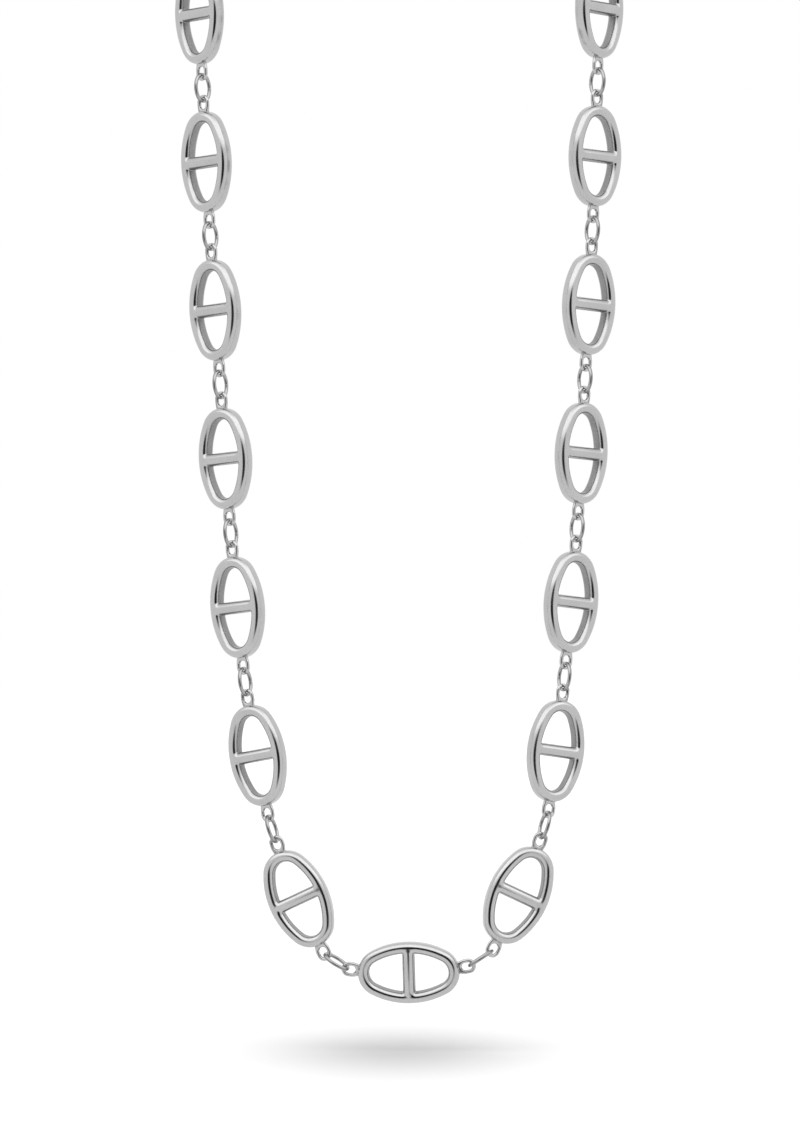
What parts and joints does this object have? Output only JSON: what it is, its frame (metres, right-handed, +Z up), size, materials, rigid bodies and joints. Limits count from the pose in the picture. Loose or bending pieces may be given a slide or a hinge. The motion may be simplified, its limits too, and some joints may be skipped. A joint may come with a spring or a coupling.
{
  "type": "mariner link necklace",
  "caption": "Long necklace of oval mariner links, each with a bar across it, joined by fine oval jump rings and closed at the nape by a plain barrel clasp.",
  "frame": {"origin": "middle of the barrel clasp, where the necklace sits on the nape", "axes": "+Z up, from the front link towards the nape; -Y towards the viewer, out of the front of the necklace; +X to the viewer's right"},
  "size_m": [0.0709, 0.0357, 0.2025],
  "materials": {
    "link_metal": "polished, with a finely grained matte inner wall",
    "ring_metal": "polished",
    "clasp_metal": "polished"
  },
  "bodies": {
    "root": {"link_front": "link_metal", "link_right_1": "link_metal", "link_right_2": "link_metal", "link_right_3": "link_metal", "link_right_4": "link_metal", "link_right_5": "link_metal", "link_right_6": "link_metal", "link_right_7": "link_metal", "link_right_8": "link_metal", "link_right_9": "link_metal", "link_left_1": "link_metal", "link_left_2": "link_metal", "link_left_3": "link_metal", "link_left_4": "link_metal", "link_left_5": "link_metal", "link_left_6": "link_metal", "link_left_7": "link_metal", "link_left_8": "link_metal", "link_left_9": "link_metal", "ring_right_1": "ring_metal", "ring_right_2": "ring_metal", "ring_right_3": "ring_metal", "ring_right_4": "ring_metal", "ring_right_5": "ring_metal", "ring_right_6": "ring_metal", "ring_right_7": "ring_metal", "ring_right_8": "ring_metal", "ring_right_9": "ring_metal", "ring_right_10": "ring_metal", "ring_left_1": "ring_metal", "ring_left_2": "ring_metal", "ring_left_3": "ring_metal", "ring_left_4": "ring_metal", "ring_left_5": "ring_metal", "ring_left_6": "ring_metal", "ring_left_7": "ring_metal", "ring_left_8": "ring_metal", "ring_left_9": "ring_metal", "ring_left_10": "ring_metal", "clasp": "clasp_metal"}
  },
  "joints": []
}
